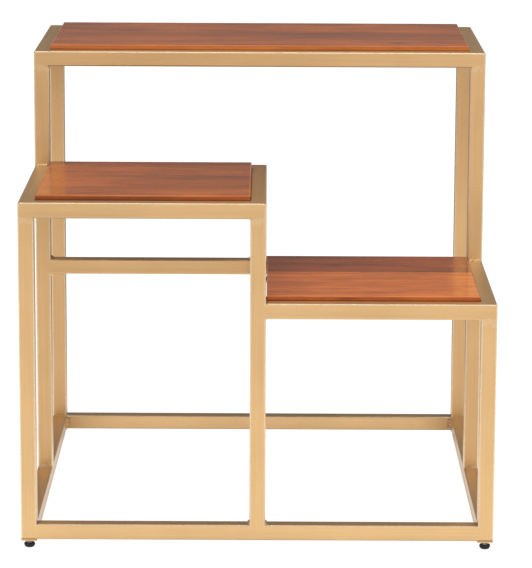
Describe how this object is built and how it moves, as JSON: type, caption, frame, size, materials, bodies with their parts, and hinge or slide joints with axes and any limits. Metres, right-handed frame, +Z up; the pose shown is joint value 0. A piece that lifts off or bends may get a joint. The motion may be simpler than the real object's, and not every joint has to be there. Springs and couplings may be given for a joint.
{
  "type": "tiered side table",
  "caption": "Side table with wooden shelves at stepped heights in a welded square-tube frame on screw feet that level it.",
  "frame": {"origin": "on the floor under the middle of the table", "axes": "+X to the right as seen from the front, +Y to the rear, +Z up"},
  "size_m": [0.6, 0.6, 0.6065],
  "materials": {
    "gold_paint": "satin metallic gold paint",
    "front_board_wood": "satin lacquer, orange brown",
    "rear_board_wood": "satin lacquer, red brown",
    "plated_steel": "zinc plated",
    "black_plastic": "moulded, matte"
  },
  "bodies": {
    "frame": {"bottom_corner_welds": "gold_paint", "bottom_front_rail": "gold_paint", "bottom_left_rail": "gold_paint", "bottom_rear_rail": "gold_paint", "bottom_right_rail": "gold_paint", "front_centre_post": "gold_paint", "front_left_leg": "gold_paint", "front_right_leg": "gold_paint", "high_front_rail": "gold_paint", "high_left_rail": "gold_paint", "high_panel_front_board": "front_board_wood", "high_panel_rear_board": "rear_board_wood", "high_panel_screws": "plated_steel", "high_panel_tabs": "gold_paint", "high_rear_rail": "gold_paint", "high_right_rail": "gold_paint", "leg_end_plates": "gold_paint", "leg_weld_nuts": "plated_steel", "low_front_rail": "gold_paint", "low_left_rail": "gold_paint", "low_panel_front_board": "front_board_wood", "low_panel_rear_board": "rear_board_wood", "low_panel_screws": "plated_steel", "low_panel_tabs": "gold_paint", "low_rear_rail": "gold_paint", "low_right_rail": "gold_paint", "mid_front_rail": "gold_paint", "mid_left_post": "gold_paint", "mid_left_rail": "gold_paint", "mid_panel_front_board": "front_board_wood", "mid_panel_rear_board": "rear_board_wood", "mid_panel_screws": "plated_steel", "mid_panel_tabs": "gold_paint", "mid_rear_rail": "gold_paint", "mid_right_post": "gold_paint", "mid_right_rail": "gold_paint", "rear_left_leg": "gold_paint", "rear_right_leg": "gold_paint", "shelf_rail_welds": "gold_paint", "short_centre_post": "gold_paint", "upright_foot_welds": "gold_paint", "upright_top_welds": "gold_paint"},
    "front_left_stud": {"front_left_foot_stud": "plated_steel"},
    "front_left_pad": {"front_left_foot_pad": "black_plastic"},
    "front_right_stud": {"front_right_foot_stud": "plated_steel"},
    "front_right_pad": {"front_right_foot_pad": "black_plastic"},
    "rear_left_stud": {"rear_left_foot_stud": "plated_steel"},
    "rear_left_pad": {"rear_left_foot_pad": "black_plastic"},
    "rear_right_stud": {"rear_right_foot_stud": "plated_steel"},
    "rear_right_pad": {"rear_right_foot_pad": "black_plastic"}
  },
  "joints": [
    {"name": "front_left_foot_travel", "type": "slide", "parent": "frame", "child": "front_left_stud", "axis": [0, 0, 1], "range_m": [-0.008, 0.0025]},
    {"name": "front_left_foot_turn", "type": "hinge", "parent": "front_left_stud", "child": "front_left_pad", "pos_m": [-0.29, -0.29, 0], "axis": [0, 0, 1], "range_deg": [-2880, 900]},
    {"name": "front_right_foot_travel", "type": "slide", "parent": "frame", "child": "front_right_stud", "axis": [0, 0, 1], "range_m": [-0.008, 0.0025]},
    {"name": "front_right_foot_turn", "type": "hinge", "parent": "front_right_stud", "child": "front_right_pad", "pos_m": [0.29, -0.29, 0], "axis": [0, 0, 1], "range_deg": [-2880, 900]},
    {"name": "rear_left_foot_travel", "type": "slide", "parent": "frame", "child": "rear_left_stud", "axis": [0, 0, 1], "range_m": [-0.008, 0.0025]},
    {"name": "rear_left_foot_turn", "type": "hinge", "parent": "rear_left_stud", "child": "rear_left_pad", "pos_m": [-0.29, 0.29, 0], "axis": [0, 0, 1], "range_deg": [-2880, 900]},
    {"name": "rear_right_foot_travel", "type": "slide", "parent": "frame", "child": "rear_right_stud", "axis": [0, 0, 1], "range_m": [-0.008, 0.0025]},
    {"name": "rear_right_foot_turn", "type": "hinge", "parent": "rear_right_stud", "child": "rear_right_pad", "pos_m": [0.29, 0.29, 0], "axis": [0, 0, 1], "range_deg": [-2880, 900]}
  ],
  "couplings": [
    {"joint": "front_left_foot_turn", "follows": "front_left_foot_travel", "rad_per_m": 6283.2},
    {"joint": "front_right_foot_turn", "follows": "front_right_foot_travel", "rad_per_m": 6283.2},
    {"joint": "rear_left_foot_turn", "follows": "rear_left_foot_travel", "rad_per_m": 6283.2},
    {"joint": "rear_right_foot_turn", "follows": "rear_right_foot_travel", "rad_per_m": 6283.2}
  ]
}
